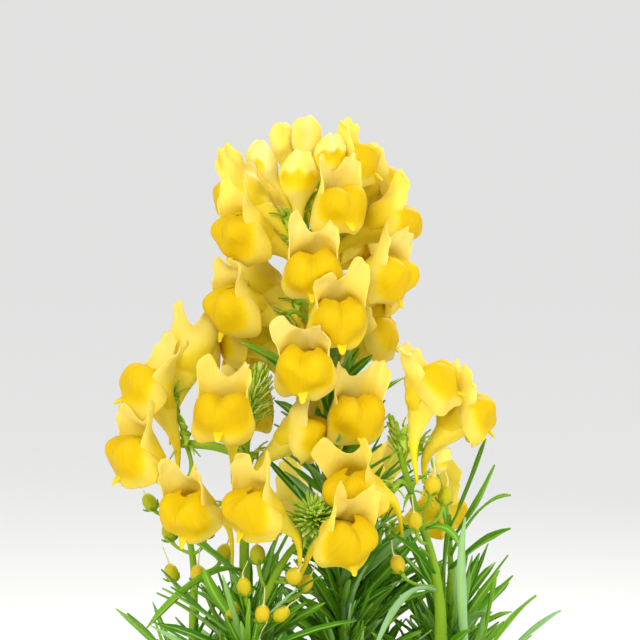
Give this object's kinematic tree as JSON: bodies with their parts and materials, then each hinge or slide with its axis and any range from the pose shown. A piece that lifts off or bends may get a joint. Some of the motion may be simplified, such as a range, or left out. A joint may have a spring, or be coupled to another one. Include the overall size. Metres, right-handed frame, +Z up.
{
  "type": "potted common toadflax",
  "caption": "Clump of upright leafy stems in a plain round clay pot, with racemes of spurred snapdragon-like yellow flowers, young seed capsules and bristly growing tips.",
  "frame": {"origin": "middle of the pot's foot, on the ground", "axes": "+Z up along the pot's axis, -Y towards the front, +X to the viewer's right"},
  "size_m": [0.1306, 0.132, 0.3636],
  "materials": {
    "terracotta": "unglazed fired clay, matt, with a faint bloom of lime",
    "soil": "loose dark potting compost",
    "leaf_green": "smooth green stems, leaves, calyxes and capsules with a waxy bloom",
    "petal_yellow": "soft satin petals, pale lemon upper lip and deep golden palate"
  },
  "bodies": {
    "root": {"pot": "terracotta", "soil": "soil", "stem_back": "leaf_green", "stem_back_left": "leaf_green", "stem_back_right": "leaf_green", "stem_front": "leaf_green", "stem_front_low": "leaf_green", "stem_left": "leaf_green", "stem_left_fruit": "leaf_green", "stem_main": "leaf_green", "stem_right": "leaf_green", "stem_right_leafy": "leaf_green", "stem_right_low": "leaf_green", "bloom_a1": "petal_yellow", "bloom_a2": "petal_yellow", "bloom_a3": "petal_yellow", "bloom_a4": "petal_yellow", "bloom_a5": "petal_yellow", "bloom_a6": "petal_yellow", "bloom_a7": "petal_yellow", "bloom_a8": "petal_yellow", "bloom_b1": "petal_yellow", "bloom_b2": "petal_yellow", "bloom_b4": "petal_yellow", "bloom_b5": "petal_yellow", "bloom_b6": "petal_yellow", "bloom_c1": "petal_yellow", "bloom_c2": "petal_yellow", "bloom_c3": "petal_yellow", "bloom_c4": "petal_yellow", "bloom_c5": "petal_yellow", "bloom_c6": "petal_yellow", "bloom_d1": "petal_yellow", "bloom_d2": "petal_yellow", "bloom_d3": "petal_yellow", "bloom_d4": "petal_yellow", "bloom_d5": "petal_yellow", "bloom_d6": "petal_yellow", "bloom_d7": "petal_yellow", "bloom_d8": "petal_yellow", "bloom_e1": "petal_yellow", "bloom_e2": "petal_yellow", "bloom_e3": "petal_yellow", "bloom_f1": "petal_yellow", "bloom_f2": "petal_yellow", "bloom_g1": "petal_yellow", "bloom_g2": "petal_yellow", "bloom_g3": "petal_yellow", "bloom_g4": "petal_yellow", "bloom_g5": "petal_yellow", "bloom_g6": "petal_yellow", "bloom_g7": "petal_yellow", "bloom_g8": "petal_yellow", "bloom_g9": "petal_yellow", "bloom_h1": "petal_yellow", "bloom_h2": "petal_yellow", "bloom_h3": "petal_yellow", "bloom_h4": "petal_yellow", "bloom_h5": "petal_yellow"}
  },
  "joints": []
}
